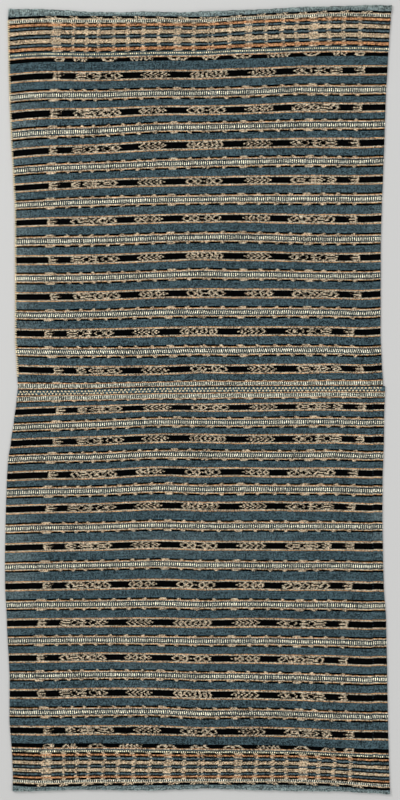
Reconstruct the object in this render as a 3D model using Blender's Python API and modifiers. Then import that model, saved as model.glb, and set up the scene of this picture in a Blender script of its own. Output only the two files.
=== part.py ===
"""An ikat tube skirt laid flat on the floor, seen face on.

Two woven panels lie end to end. Each is a wide loop pressed flat: a front and a back layer that a narrow fold joins at
either side. The upper panel ends in the top hem, the lower one in the bottom hem, and the joining seam lies between them.

World frame: metres, +X to the right across the cloth, +Y towards the top hem, +Z up. The origin is on the floor under
the middle of the cloth.
"""

import math

import bmesh
import bpy
import numpy as np

CLOTH_THICKNESS = 0.0011
LAYER_GAP = 0.0006
# Between the selvedges on the face. Their undersides lean in where the seam lifts, which leaves 0.3 mm there.
SEAM_GAP = 0.0006
HEM_DEPTH = 0.0135
HEM_EXTRA = 0.0007
HEM_STEP = 0.0016
SELVEDGE_DEPTH = 0.0040
SELVEDGE_LIFT = 0.0005
FOLD_BLEND = 0.030
FRONT_COLUMNS = 24
BACK_COLUMNS = 10
FOLD_STEPS = 6
BODY_ROWS = 22

# The hems and the joining seam run a little unevenly across the cloth: metres from the middle of the cloth.
CROSS_COLUMNS = ("across", "top_hem", "seam", "bottom_hem")
CROSS_ROWS = (
    (-0.336, 0.6850, 0.0166, -0.6850),
    (-0.290, 0.6845, 0.0170, -0.6848),
    (-0.245, 0.6822, 0.0175, -0.6832),
    (-0.200, 0.6795, 0.0180, -0.6818),
    (-0.137, 0.6785, 0.0194, -0.6830),
    (-0.085, 0.6796, 0.0215, -0.6836),
    (-0.030, 0.6770, 0.0230, -0.6818),
    (0.020, 0.6795, 0.0235, -0.6802),
    (0.075, 0.6816, 0.0238, -0.6822),
    (0.126, 0.6834, 0.0241, -0.6834),
    (0.180, 0.6865, 0.0242, -0.6848),
    (0.250, 0.6886, 0.0242, -0.6852),
    (0.300, 0.6902, 0.0242, -0.6880),
    (0.337, 0.6896, 0.0242, -0.6902),
)

# The two side folds of each panel: metres down from the panel's upper end, and metres from the middle of the cloth.
SIDE_COLUMNS = ("down", "left", "right")
UPPER_SIDES = (
    (0.000, -0.3310, 0.3377),
    (0.020, -0.3326, 0.3346),
    (0.060, -0.3320, 0.3322),
    (0.100, -0.3310, 0.3304),
    (0.160, -0.3290, 0.3272),
    (0.230, -0.3262, 0.3245),
    (0.300, -0.3230, 0.3216),
    (0.350, -0.3204, 0.3196),
    (0.420, -0.3200, 0.3186),
    (0.580, -0.3196, 0.3187),
    (0.630, -0.3166, 0.3204),
    (0.668, -0.3150, 0.3226),
)
LOWER_SIDES = (
    (0.000, -0.3160, 0.3264),
    (0.020, -0.3184, 0.3256),
    (0.055, -0.3220, 0.3250),
    (0.090, -0.3272, 0.3250),
    (0.125, -0.3324, 0.3236),
    (0.160, -0.3344, 0.3222),
    (0.230, -0.3366, 0.3218),
    (0.300, -0.3378, 0.3222),
    (0.345, -0.3374, 0.3240),
    (0.405, -0.3344, 0.3286),
    (0.510, -0.3290, 0.3312),
    (0.580, -0.3290, 0.3324),
    (0.650, -0.3252, 0.3342),
    (0.705, -0.3214, 0.3362),
)

# Where the front layer stands off the back one: the middle of each swell, its half lengths and its height in metres.
SWELL_COLUMNS = ("across", "along", "half_width", "half_length", "height")
SWELLS = (
    (-0.190, 0.560, 0.110, 0.075, 0.0012),
    (0.120, 0.600, 0.140, 0.060, 0.0010),
    (0.020, 0.440, 0.150, 0.070, 0.0014),
    (-0.210, 0.330, 0.090, 0.085, 0.0011),
    (0.210, 0.300, 0.095, 0.090, 0.0015),
    (-0.030, 0.190, 0.160, 0.060, 0.0013),
    (-0.180, 0.060, 0.110, 0.050, 0.0012),
    (0.180, 0.070, 0.120, 0.055, 0.0014),
    (0.010, -0.080, 0.170, 0.060, 0.0015),
    (-0.210, -0.200, 0.100, 0.080, 0.0012),
    (0.190, -0.230, 0.110, 0.085, 0.0016),
    (-0.040, -0.340, 0.150, 0.070, 0.0012),
    (0.150, -0.470, 0.120, 0.070, 0.0013),
    (-0.180, -0.500, 0.120, 0.080, 0.0014),
    (0.030, -0.600, 0.160, 0.050, 0.0010),
)

BLUE_COTTON = (0.052, 0.080, 0.098, 1.0)
COTTON_ROUGHNESS = 0.92


def column(rows, names, name):
    """One named column of a table."""
    return np.array([row[names.index(name)] for row in rows])


def smooth_between(position, places, values):
    """Values of a table read with an eased step from each row to the next."""
    index = int(np.clip(np.searchsorted(places, position) - 1, 0, len(places) - 2))
    share = (position - places[index]) / (places[index + 1] - places[index])
    share = min(max(share, 0.0), 1.0)
    eased = share * share * (3.0 - 2.0 * share)
    blend = 0.5 * share + 0.5 * eased
    return values[index] + (values[index + 1] - values[index]) * blend


def cross_line(name, across):
    """Height on the cloth of a hem or of the joining seam, at one place across it."""
    places = column(CROSS_ROWS, CROSS_COLUMNS, "across")
    return smooth_between(across, places, column(CROSS_ROWS, CROSS_COLUMNS, name))


def side_line(rows, name, down):
    """Place of a side fold, at one distance down the panel."""
    places = column(rows, SIDE_COLUMNS, "down")
    return smooth_between(down, places, column(rows, SIDE_COLUMNS, name))


def swell(across, along):
    """Extra height of the front layer over the back one."""
    height = 0.0
    for middle_x, middle_y, half_width, half_length, rise in SWELLS:
        reach = math.hypot((across - middle_x) / half_width, (along - middle_y) / half_length)
        if reach < 1.0:
            height += rise * math.cos(reach * math.pi / 2.0) ** 2
    return height


def loop_stations():
    """The loop's cross-section, from the left fold over the front, round the right fold and back underneath."""
    stations = []
    for step in range(FRONT_COLUMNS + 1):
        stations.append(("front", step / FRONT_COLUMNS))
    for step in range(1, FOLD_STEPS):
        stations.append(("right", step / FOLD_STEPS))
    for step in range(BACK_COLUMNS + 1):
        stations.append(("back", 1.0 - step / BACK_COLUMNS))
    for step in range(1, FOLD_STEPS):
        stations.append(("left", step / FOLD_STEPS))
    stations.append(stations[0])
    return stations


def panel_rows(length, hem_at_top):
    """Distances down the panel of its rows, with close ones at the hem and at the sewn selvedge."""
    hem_rows = [0.0, HEM_DEPTH - HEM_STEP, HEM_DEPTH]
    sewn_rows = [SELVEDGE_DEPTH, 0.0]
    if hem_at_top:
        first = hem_rows
        last = [length - depth for depth in sewn_rows]
    else:
        first = sewn_rows[::-1]
        last = [length - depth for depth in hem_rows[::-1]]
    body = np.linspace(first[-1], last[0], BODY_ROWS + 1)[1:-1]
    return first + list(body) + last


def hem_share(from_hem):
    """1 inside the hem, 0 in the plain cloth."""
    return min(max((HEM_DEPTH - from_hem) / HEM_STEP, 0.0), 1.0)


def make_panel(name, sides, upper_line, lower_line, hem_at_top):
    """One woven panel: a flat grid wrapped round into a pressed loop, then given its thickness."""
    half_gap = SEAM_GAP / 2.0
    length = sides[-1][0]
    rows = panel_rows(length, hem_at_top)
    stations = loop_stations()
    mesh = bpy.data.meshes.new(name)
    work = bmesh.new()
    bmesh.ops.create_grid(work, x_segments=len(stations) - 1, y_segments=len(rows) - 1, size=1.0)
    thickness_share = {}
    for vert in work.verts:
        part, share = stations[round((vert.co.x + 1.0) / 2.0 * (len(stations) - 1))]
        down = rows[len(rows) - 1 - round((vert.co.y + 1.0) / 2.0 * (len(rows) - 1))]
        in_hem = hem_share(down if hem_at_top else length - down)
        from_seam = length - down if hem_at_top else down
        thickness = CLOTH_THICKNESS + HEM_EXTRA * in_hem
        fold_radius = thickness + LAYER_GAP / 2.0
        left = side_line(sides, "left", down)
        right = side_line(sides, "right", down)
        flat_left = left + fold_radius
        flat_right = right - fold_radius
        if part in ("front", "back"):
            across = flat_left + (flat_right - flat_left) * share
            height = 2.0 * fold_radius if part == "front" else 0.0
        else:
            turn = math.pi * share
            if part == "right":
                across = flat_right + fold_radius * math.sin(turn)
                height = fold_radius + fold_radius * math.cos(turn)
            else:
                across = flat_left - fold_radius * math.sin(turn)
                height = fold_radius - fold_radius * math.cos(turn)
        top = cross_line(upper_line, across)
        bottom = cross_line(lower_line, across)
        if hem_at_top:
            bottom += half_gap
        else:
            top -= half_gap
        along = top + (bottom - top) * down / length
        if part == "front":
            from_fold = min(across - flat_left, flat_right - across)
            settle = min(max(from_fold / FOLD_BLEND, 0.0), 1.0)
            height += swell(across, along) * settle
            height += SELVEDGE_LIFT * settle * max(1.0 - from_seam / SELVEDGE_DEPTH, 0.0)
        vert.co = (across, along, height)
        thickness_share[vert.index] = thickness / (CLOTH_THICKNESS + HEM_EXTRA)
    work.to_mesh(mesh)
    work.free()
    panel = bpy.data.objects.new(name, mesh)
    group = panel.vertex_groups.new(name="thickness")
    for index, weight in thickness_share.items():
        group.add([index], weight, "REPLACE")
    weld = panel.modifiers.new("end_seam", "WELD")
    weld.merge_threshold = 0.00001
    solid = panel.modifiers.new("cloth", "SOLIDIFY")
    solid.thickness = CLOTH_THICKNESS + HEM_EXTRA
    solid.offset = -1.0
    solid.use_even_offset = True
    solid.use_quality_normals = True
    solid.use_rim = True
    solid.vertex_group = group.name
    mesh.shade_smooth()
    mesh.set_sharp_from_angle(angle=math.radians(50.0))
    return panel


def cotton(name, colour):
    """Plain cotton in one colour."""
    material = bpy.data.materials.new(name)
    material.use_nodes = True
    shader = material.node_tree.nodes["Principled BSDF"]
    shader.inputs["Base Color"].default_value = colour
    shader.inputs["Roughness"].default_value = COTTON_ROUGHNESS
    shader.inputs["Metallic"].default_value = 0.0
    return material


for leftover in list(bpy.data.objects):
    bpy.data.objects.remove(leftover, do_unlink=True)

cloth = bpy.data.collections.new("ikat_tube_skirt")
bpy.context.scene.collection.children.link(cloth)

upper_panel = make_panel("upper_panel", UPPER_SIDES, "top_hem", "seam", True)
lower_panel = make_panel("lower_panel", LOWER_SIDES, "seam", "bottom_hem", False)
for panel in (upper_panel, lower_panel):
    panel.data.materials.append(cotton(panel.name + "_cotton", BLUE_COTTON))
    cloth.objects.link(panel)
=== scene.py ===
"""Looks of the ikat tube skirt: two warp-striped woven panels, pressed flat and laid on a pale floor.

The frame is in metres: +X to the right across the cloth, +Y towards the top hem, +Z up. Each panel is a thin woven loop
whose mesh rows follow the stripes of its warp, so every stripe keeps its own material and bends as the cloth lies.
"""

import math
import random

import bmesh
import bpy
import numpy as np
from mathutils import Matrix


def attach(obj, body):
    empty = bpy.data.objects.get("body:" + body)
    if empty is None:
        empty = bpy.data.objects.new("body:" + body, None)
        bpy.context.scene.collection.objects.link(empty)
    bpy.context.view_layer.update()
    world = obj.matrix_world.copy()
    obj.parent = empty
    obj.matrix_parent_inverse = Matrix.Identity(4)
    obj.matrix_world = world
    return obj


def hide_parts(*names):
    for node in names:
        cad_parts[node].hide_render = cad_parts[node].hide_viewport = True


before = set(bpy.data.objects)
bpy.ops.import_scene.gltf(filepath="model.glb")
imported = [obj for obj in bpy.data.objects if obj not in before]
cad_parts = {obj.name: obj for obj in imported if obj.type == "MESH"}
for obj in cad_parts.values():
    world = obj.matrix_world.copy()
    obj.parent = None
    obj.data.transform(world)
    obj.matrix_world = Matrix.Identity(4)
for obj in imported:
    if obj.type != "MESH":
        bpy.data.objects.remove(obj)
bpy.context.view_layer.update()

MM = 0.001
CLOTH_THICKNESS = 0.0011
LAYER_GAP = 0.0006
SEAM_GAP = 0.0003
HEM_EXTRA = 0.0007
HEM_STEP = 0.0016
# Small waves of the hems: height and length in metres.
HEM_RIPPLES = ((0.00030, 0.0023), (0.00030, 0.0041), (0.00020, 0.0093))
RIPPLE_SHIFT = 9.0
SELVEDGE_DEPTH = 0.0040
SELVEDGE_LIFT = 0.0005
FOLD_BLEND = 0.030
FRONT_COLUMNS = 192
BACK_COLUMNS = 56
FOLD_STEPS = 10
ROW_HEIGHT = 0.0046
INNER_ROW_STEP = 9
OUTER_X = 0.33
RIM_FALL = 0.001
RIM_SEED = 0.5
SEED_STEP = 1.37

# The hems and the joining seam run a little unevenly across the cloth: metres from the middle of the cloth.
CROSS_COLUMNS = ("across", "top_hem", "seam", "bottom_hem")
CROSS_ROWS = (
    (-0.336, 0.6826, 0.0168, -0.6850),
    (-0.290, 0.6828, 0.0172, -0.6848),
    (-0.245, 0.6813, 0.0177, -0.6832),
    (-0.200, 0.6781, 0.0181, -0.6818),
    (-0.172, 0.6774, 0.0190, -0.6824),
    (-0.137, 0.6768, 0.0206, -0.6830),
    (-0.085, 0.6782, 0.0219, -0.6836),
    (-0.030, 0.6768, 0.0228, -0.6818),
    (0.020, 0.6790, 0.0231, -0.6802),
    (0.075, 0.6809, 0.0233, -0.6822),
    (0.126, 0.6827, 0.0236, -0.6834),
    (0.180, 0.6863, 0.0237, -0.6848),
    (0.250, 0.6877, 0.0237, -0.6852),
    (0.300, 0.6895, 0.0237, -0.6880),
    (0.337, 0.6892, 0.0237, -0.6902),
)

# The two side folds of each panel: metres down from the panel's upper end, and metres from the middle of the cloth.
SIDE_COLUMNS = ("down", "left", "right")
UPPER_SIDES = (
    (0.000, -0.3310, 0.3393),
    (0.020, -0.3326, 0.3374),
    (0.060, -0.3318, 0.3345),
    (0.100, -0.3312, 0.3320),
    (0.160, -0.3296, 0.3286),
    (0.230, -0.3268, 0.3264),
    (0.300, -0.3228, 0.3238),
    (0.350, -0.3202, 0.3216),
    (0.420, -0.3200, 0.3198),
    (0.580, -0.3196, 0.3194),
    (0.630, -0.3166, 0.3217),
    (0.668, -0.3150, 0.3240),
)
LOWER_SIDES = (
    (0.000, -0.3155, 0.3274),
    (0.020, -0.3176, 0.3268),
    (0.055, -0.3220, 0.3256),
    (0.090, -0.3272, 0.3254),
    (0.125, -0.3324, 0.3243),
    (0.160, -0.3344, 0.3230),
    (0.230, -0.3366, 0.3227),
    (0.300, -0.3378, 0.3238),
    (0.345, -0.3374, 0.3250),
    (0.405, -0.3344, 0.3292),
    (0.510, -0.3294, 0.3312),
    (0.580, -0.3298, 0.3324),
    (0.650, -0.3248, 0.3342),
    (0.680, -0.3238, 0.3352),
    (0.705, -0.3244, 0.3362),
)

# Where the front layer stands off the back one: the middle of each swell, its half lengths and its height in metres.
SWELLS = (
    (-0.190, 0.560, 0.110, 0.075, 0.0012),
    (0.120, 0.600, 0.140, 0.060, 0.0010),
    (0.020, 0.440, 0.150, 0.070, 0.0014),
    (-0.210, 0.330, 0.090, 0.085, 0.0011),
    (0.210, 0.300, 0.095, 0.090, 0.0015),
    (-0.030, 0.190, 0.160, 0.060, 0.0013),
    (-0.180, 0.060, 0.110, 0.050, 0.0012),
    (0.180, 0.070, 0.120, 0.055, 0.0014),
    (0.010, -0.080, 0.170, 0.060, 0.0015),
    (-0.210, -0.200, 0.100, 0.080, 0.0012),
    (0.190, -0.230, 0.110, 0.085, 0.0016),
    (-0.040, -0.340, 0.150, 0.070, 0.0012),
    (0.150, -0.470, 0.120, 0.070, 0.0013),
    (-0.180, -0.500, 0.120, 0.080, 0.0014),
    (0.030, -0.600, 0.160, 0.050, 0.0010),
)

# Creases pressed into the front layer: two ends in metres, half width and height. Below zero is a trough. Past its
# ends a crease fades over a longer way than across it.
CREASE_FADE = 0.3
CREASES = (
    ((-0.0445, 0.640), (-0.0569, 0.045), 0.0050, 0.00055),
    ((0.1330, 0.565), (0.1330, 0.512), 0.0040, 0.00045),
    ((0.0200, -0.020), (0.0150, -0.300), 0.0060, -0.00030),
    ((-0.3000, -0.300), (-0.3080, -0.560), 0.0070, 0.00035),
    ((0.2600, 0.560), (0.2500, 0.330), 0.0080, -0.00030),
    ((-0.2500, 0.250), (-0.2150, 0.040), 0.0080, 0.00035),
    ((0.2850, -0.150), (0.3000, -0.420), 0.0070, 0.00035),
    ((-0.1500, -0.420), (-0.1300, -0.660), 0.0070, -0.00030),
)

# Places where the cloth's colour is made paler (above zero) or deeper (below zero): middle, half lengths, strength.
PALE_AND_DEEP_PATCHES = (
    (-0.315, 0.470, 0.060, 0.110, 1.00),
    (-0.315, 0.210, 0.060, 0.240, 1.00),
    (-0.325, -0.280, 0.070, 0.170, 1.00),
    (0.325, -0.200, 0.045, 0.110, 1.00),
    (0.320, 0.310, 0.040, 0.090, 0.60),
    (-0.010, -0.250, 0.270, 0.045, 0.45),
    (-0.030, 0.020, 0.080, 0.016, 0.60),
    (0.210, 0.020, 0.120, 0.016, 0.60),
    (0.187, 0.370, 0.060, 0.035, 0.50),
    (-0.100, 0.340, 0.060, 0.030, 0.40),
    (-0.030, -0.150, 0.070, 0.030, 0.40),
    (-0.100, -0.470, 0.090, 0.080, 0.30),
    (0.126, 0.445, 0.100, 0.040, -0.50),
    (0.170, 0.258, 0.150, 0.035, -0.50),
    (0.160, 0.139, 0.100, 0.035, -0.40),
    (-0.100, 0.060, 0.140, 0.030, -0.50),
    (0.012, -0.080, 0.320, 0.045, -0.50),
    (0.000, -0.193, 0.300, 0.020, -0.40),
    (0.180, -0.386, 0.110, 0.040, -0.40),
    (0.100, -0.590, 0.180, 0.085, -0.60),
    (0.000, 0.568, 0.320, 0.085, -0.40),
    (0.000, -0.590, 0.360, 0.070, -0.40),
)

# How far a stripe rises or falls from straight, in millimetres, at places across the cloth (millimetres too). Each row
# starts with the stripe's own place up the cloth, read at REFERENCE_X.
REFERENCE_X = 0.126
BOW_ACROSS = (-328, -304, -172, -58, 4, 65, 126, 178, 231, 304, 322)
UPPER_BOW = (
    (676.6, (-7.4, -5.8, -4.6, -5.2, -6.5, -3.9, 0, 2.3, 4.7, 4.2, 3.4)),
    (669.7, (-9.0, -7.4, -7.2, -6.1, -6.5, -3.0, 0, 1.9, 4.0, 3.6, 2.8)),
    (651.7, (-12.0, -9.8, -7.9, -6.5, -6.5, -3.2, 0, 1.4, 3.0, 2.8, 1.8)),
    (612.7, (-10.6, -8.4, -7.5, -4.7, -4.4, -1.8, 0, 2.1, 3.5, 2.8, 1.8)),
    (590.6, (-11.4, -8.8, -7.0, -4.4, -4.5, -1.4, 0, 2.6, 3.5, 4.0, 4.0)),
    (525.0, (-12.4, -9.8, -7.2, -3.5, -3.5, -2.6, 0, 2.5, 1.8, 1.8, 2.2)),
    (464.6, (-18.4, -15.8, -9.8, -2.8, -2.6, -0.9, 0, 0.9, 1.8, 1.8, 2.5)),
    (434.0, (-19.2, -16.6, -10.3, -5.0, -3.3, -1.6, 0, 0.9, -0.5, 0, 0.9)),
    (369.3, (-14.0, -12.3, -5.3, -2.6, -1.8, -0.9, 0, 0, 0.9, 0.9, 1.8)),
    (300.0, (-7.0, -6.1, -4.0, 0, 0.9, 1.8, 0, -1.6, -2.3, -1.6, -0.7)),
    (235.4, (-7.0, -7.0, -5.3, -0.9, 1.8, 0.2, 0, -1.6, -2.5, -1.8, -1.0)),
    (170.6, (-5.6, -6.1, -4.2, 0, 0.2, 0, 0, 0, -0.9, -1.8, -0.3)),
    (70.7, (-1.4, -2.1, -3.5, -2.5, -0.7, -1.4, 0, 0, 0, -1.2, 0.3)),
    (39.4, (0, -0.9, -3.5, -1.8, 0.9, 0, 0, 0, 1.8, 1.8, 3.2)),
)
LOWER_BOW = (
    (7.7, (-7.6, -6.5, -3.9, -1.9, -1.6, -0.4, 0, 0.7, 1.4, 0.7, 0.7)),
    (-24.5, (-10.8, -9.6, -4.4, 0, -0.9, -0.9, 0, 0.9, 0.9, -0.9, -1.3)),
    (-82.3, (-7.3, -6.1, -2.6, 1.8, 1.8, 0, 0, 0, 0.9, -1.8, -2.3)),
    (-142.5, (-6.4, -5.3, -2.8, 2.5, 0, 1.6, 0, 0, 0, -1.8, -2.2)),
    (-168.9, (-7.1, -6.1, -3.5, 0.9, -1.0, -1.0, 0, -1.0, -1.0, -4.0, -4.4)),
    (-238.9, (-4.5, -3.5, -0.9, 1.8, 0, 0, 0, 0, 0, -0.9, -1.3)),
    (-308.0, (-1.6, -1.0, 1.6, 3.9, 1.6, 1.6, 0, 0, 0.4, -1.8, -2.4)),
    (-374.5, (-1.5, -1.0, 0, 0.9, -0.9, 0, 0, -1.8, -1.8, -3.5, -3.9)),
    (-437.7, (0.6, 0.9, 2.5, 1.0, 0, 0, 0, -1.0, -1.8, -4.2, -4.2)),
    (-501.4, (2.6, 2.6, 5.1, 4.2, 1.8, 1.8, 0, -0.9, -2.6, -5.3, -5.3)),
    (-565.3, (2.2, 1.8, 2.6, 2.5, -0.9, 0, 0, -1.8, -4.4, -6.1, -6.8)),
    (-607.4, (4.0, 3.2, 3.2, 1.9, 1.2, 0.7, 0, -1.2, -4.2, -7.2, -8.4)),
    (-648.9, (1.4, 0.2, 0.9, -0.2, -0.2, -0.2, 0, -0.4, -2.3, -7.5, -9.2)),
    (-673.4, (-1.4, -3.0, -1.9, -0.9, 0, -0.4, 0, -1.2, -2.6, -8.4, -10.2)),
)

# The lower panel's end seam, near the right fold, where its stripes are sewn a little out of line.
END_SEAM_X = 0.306
END_SEAM_WIDTH = 0.0035
END_SEAM_STEP = 0.0011
END_SEAM_EASE = 0.040

# The blue stripes' middles at REFERENCE_X, in millimetres up the cloth, from the top of each panel down.
UPPER_BLUES = (589.2, 555.6, 523.6, 494.3, 463.4, 432.9, 400.1, 367.6, 334.3, 299.4, 265.7, 235.0, 201.4, 169.6,
               136.1, 103.1, 69.5, 37.9)
LOWER_BLUES = (-25.0, -54.4, -83.7, -111.6, -144.0, -169.2, -203.6, -238.9, -273.0, -308.5, -342.3, -374.5, -406.7,
               -438.0, -469.6, -501.6, -532.9, -565.4, -596.8)
IKAT_WIDTH = 18.0
UPPER_LADDER_WIDTH = 21.6
LOWER_LADDER_WIDTH = 20.6
SEAM_LADDER_WIDTH = 10.5

# The stripes of the two borders and along the seam, from the top down: kind and width in millimetres.
TOP_BORDER = (
    ("hem", 7.1), ("fleck", 4.4), ("ticks", 5.1), ("broken", 2.2), ("orange", 3.2),
    ("guard_below_orange", 8.2), ("tan", 4.9), ("guard", 10.6), ("tan", 5.6),
    ("guard_above_orange", 9.6), ("orange", 4.2), ("broken", 2.8), ("blue", 2.2), ("dots", 3.2),
    ("blue", 2.4), ("cream_line", 3.4), ("hanging_ikat", 7.2),
)
BELOW_SEAM = (
    ("zigzag_ground", 10.7), ("ladder_below_seam", 12.2), ("blue", 6.1), ("ikat_wedge", 15.1),
)
BOTTOM_BORDER = (
    ("standing_ikat", 7.4), ("cream_line_low", 3.0), ("blue", 1.7), ("dots", 3.0), ("broken", 3.2),
    ("orange", 2.0), ("guard_below_orange", 10.2), ("tan", 3.6), ("guard", 8.9), ("tan", 3.6),
    ("guard_above_orange", 8.3), ("orange", 1.9), ("broken", 2.9), ("ticks", 4.6), ("fleck_low", 5.4),
    ("hem_low", 10.0),
)
IKAT_ORDER = ("ikat_lens", "ikat_wave", "ikat_lens", "ikat_wedge", "ikat_wave")

# The middle of the mirrored ikat pattern wanders from stripe to stripe: millimetres up the cloth, millimetres across.
PATTERN_MIDDLES = (
    (690, 21), (575, 20), (540, 17), (500, 14), (310, 8), (245, 11), (180, 14), (117, 1), (55, 19),
    (-14, 21), (-80, 18), (-130, 8), (-190, 4), (-325, -2), (-392, -9), (-515, -10), (-580, 3),
    (-690, 2),
)


def column(rows, names, name):
    """One named column of a table."""
    return np.array([row[names.index(name)] for row in rows])


def smooth_between(position, places, values):
    """Values of a table read with an eased step from each row to the next."""
    index = np.clip(np.searchsorted(places, position) - 1, 0, len(places) - 2)
    share = np.clip((position - places[index]) / (places[index + 1] - places[index]), 0.0, 1.0)
    eased = share * share * (3.0 - 2.0 * share)
    blend = 0.5 * share + 0.5 * eased
    return values[index] + (values[index + 1] - values[index]) * blend


def rounded_between(position, places, values):
    """Values of a table read along a smooth curve through its rows."""
    slopes = np.gradient(values, places)
    index = np.clip(np.searchsorted(places, position) - 1, 0, len(places) - 2)
    span = places[index + 1] - places[index]
    share = np.clip((position - places[index]) / span, 0.0, 1.0)
    rise = values[index + 1] - values[index]
    bend_in = slopes[index] * span - rise
    bend_out = rise - slopes[index + 1] * span
    return values[index] + share * rise + share * (1.0 - share) * (bend_in * (1.0 - share) + bend_out * share)


def cross_line(name, across):
    """Height on the cloth of a hem or of the joining seam, at places across it."""
    places = column(CROSS_ROWS, CROSS_COLUMNS, "across")
    return smooth_between(across, places, column(CROSS_ROWS, CROSS_COLUMNS, name))


def swell(across, along):
    """Extra height of the front layer over the back one, with its pressed creases."""
    height = np.zeros(np.broadcast(across, along).shape)
    for middle_x, middle_y, half_width, half_length, rise in SWELLS:
        reach = np.hypot((across - middle_x) / half_width, (along - middle_y) / half_length)
        height += rise * np.cos(np.minimum(reach, 1.0) * math.pi / 2.0) ** 2
    for start, end, half_width, rise in CREASES:
        share = np.clip((along - start[1]) / (end[1] - start[1]), 0.0, 1.0)
        beyond = np.abs(along - (start[1] + (end[1] - start[1]) * share))
        line = start[0] + (end[0] - start[0]) * share
        reach = np.hypot(across - line, beyond * CREASE_FADE) / half_width
        height += rise * np.exp(-2.0 * reach * reach)
    return height


def paleness(across, along):
    """How much paler (above zero) or deeper (below zero) the cloth's colour is made, from -1 to 1."""
    share = np.zeros(np.broadcast(across, along).shape)
    for middle_x, middle_y, half_width, half_length, strength in PALE_AND_DEEP_PATCHES:
        reach = np.hypot((across - middle_x) / half_width, (along - middle_y) / half_length)
        share += strength * np.cos(np.minimum(reach, 1.0) * math.pi / 2.0) ** 2
    return np.clip(share, -1.0, 1.0)


class Panel:
    """One woven loop: its stripes, its outline and the way it lies."""

    def __init__(self, name, sides, upper_line, lower_line, bow, stripes, hem_at_top):
        self.name = name
        self.sides = sides
        self.upper_line = upper_line
        self.lower_line = lower_line
        self.stripes = stripes
        self.hem_at_top = hem_at_top
        self.length = sides[-1][0]
        self.top = float(cross_line(upper_line, REFERENCE_X))
        self.bottom = float(cross_line(lower_line, REFERENCE_X))
        _, outer, inner = stripes[0 if hem_at_top else -1]
        self.hem_depth = outer - inner
        self.bow_places = np.array([place for place, _ in bow]) * MM
        self.bow_values = np.array([values for _, values in bow]) * MM

    def edge(self, name, across):
        """A hem or the seam's side of the gap between the panels."""
        line = cross_line(name, across)
        if name == "seam":
            return line + (SEAM_GAP / 2.0 if self.hem_at_top else -SEAM_GAP / 2.0)
        for height, length in HEM_RIPPLES:
            line = line + height * np.sin(across / length + self.length * RIPPLE_SHIFT)
        return line

    def rise_at(self, place, across):
        """How far the stripe of one place stands above that place, at points across the cloth."""
        upper = self.edge(self.upper_line, across) - self.top
        lower = self.edge(self.lower_line, across) - self.bottom
        ends = np.array(BOW_ACROSS) * MM
        places = np.concatenate(([self.top], self.bow_places, [self.bottom]))
        index = int(np.clip(np.searchsorted(-places, -place) - 1, 0, len(places) - 2))
        share = (places[index] - place) / (places[index] - places[index + 1])

        def row(number):
            if number == 0:
                return upper
            if number == len(places) - 1:
                return lower
            return rounded_between(across, ends, self.bow_values[number - 1])

        rise = row(index) * (1.0 - share) + row(index + 1) * share
        if not self.hem_at_top:
            past = np.clip((across - END_SEAM_X) / END_SEAM_WIDTH + 0.5, 0.0, 1.0)
            from_ends = np.clip(min(self.top - place, place - self.bottom) / END_SEAM_EASE, 0.0, 1.0)
            rise = rise + END_SEAM_STEP * past * from_ends
        return rise

    def along(self, place, across):
        """The stripe's height on the cloth."""
        return place + self.rise_at(place, across)

    def side(self, name, along, across):
        """The side fold's place, at a height on the cloth."""
        top = self.edge(self.upper_line, across)
        bottom = self.edge(self.lower_line, across)
        down = (top - along) / (top - bottom) * self.length
        places = column(self.sides, SIDE_COLUMNS, "down")
        return float(smooth_between(down, places, column(self.sides, SIDE_COLUMNS, name)))

    def in_hem(self, place):
        """1 in the turned hem, 0 in the plain cloth."""
        from_edge = self.top - place if self.hem_at_top else place - self.bottom
        return min(max((self.hem_depth + HEM_STEP - from_edge) / HEM_STEP, 0.0), 1.0)

    def selvedge_lift(self, across, along):
        """Extra height of the sewn selvedge beside the seam."""
        from_seam = np.abs(along - self.edge("seam", across))
        return SELVEDGE_LIFT * np.clip(1.0 - from_seam / SELVEDGE_DEPTH, 0.0, 1.0)

    def rows(self):
        """(stripe's number, first share, last share) for each strip of faces, from the top down."""
        found = []
        for number, (_, upper, lower) in enumerate(self.stripes):
            steps = max(1, math.ceil((upper - lower) / ROW_HEIGHT))
            for step in range(steps):
                found.append((number, step / steps, (step + 1) / steps))
        return found


def plan_stripes(first_edge, blues, kinds, widths):
    """The blue stripes and the bands between them in turn, from one place down, in millimetres."""
    stripes = []
    upper = first_edge
    ikats = 0
    for number in range(len(blues) - 1):
        middle = (blues[number] + blues[number + 1]) / 2.0
        kind = kinds[number % 2]
        width = widths[number % 2]
        if kind == "ikat":
            kind = IKAT_ORDER[ikats % len(IKAT_ORDER)]
            ikats += 1
        stripes.append(("blue", upper, middle + width / 2.0))
        stripes.append((kind, middle + width / 2.0, middle - width / 2.0))
        upper = middle - width / 2.0
    return stripes, upper


def stack_down(kinds, start):
    """Stripes of given widths laid one below the other."""
    stripes = []
    upper = start
    for kind, width in kinds:
        stripes.append((kind, upper, upper - width))
        upper -= width
    return stripes, upper


def in_metres(stripes):
    """Stripes in millimetres, given in metres."""
    return [(kind, upper * MM, lower * MM) for kind, upper, lower in stripes]


def upper_stripes():
    """The upper panel's stripes: kind, upper and lower edge in metres."""
    top = float(cross_line("top_hem", REFERENCE_X)) / MM
    seam = float(cross_line("seam", REFERENCE_X)) / MM + SEAM_GAP / 2.0 / MM
    border, edge = stack_down(TOP_BORDER, top)
    bands, edge = plan_stripes(edge, UPPER_BLUES, ("ikat", "ladder"), (IKAT_WIDTH, UPPER_LADDER_WIDTH))
    ladder = seam + SEAM_LADDER_WIDTH
    return in_metres(border + bands + [("blue", edge, ladder), ("ladder_above_seam", ladder, seam)])


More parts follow.
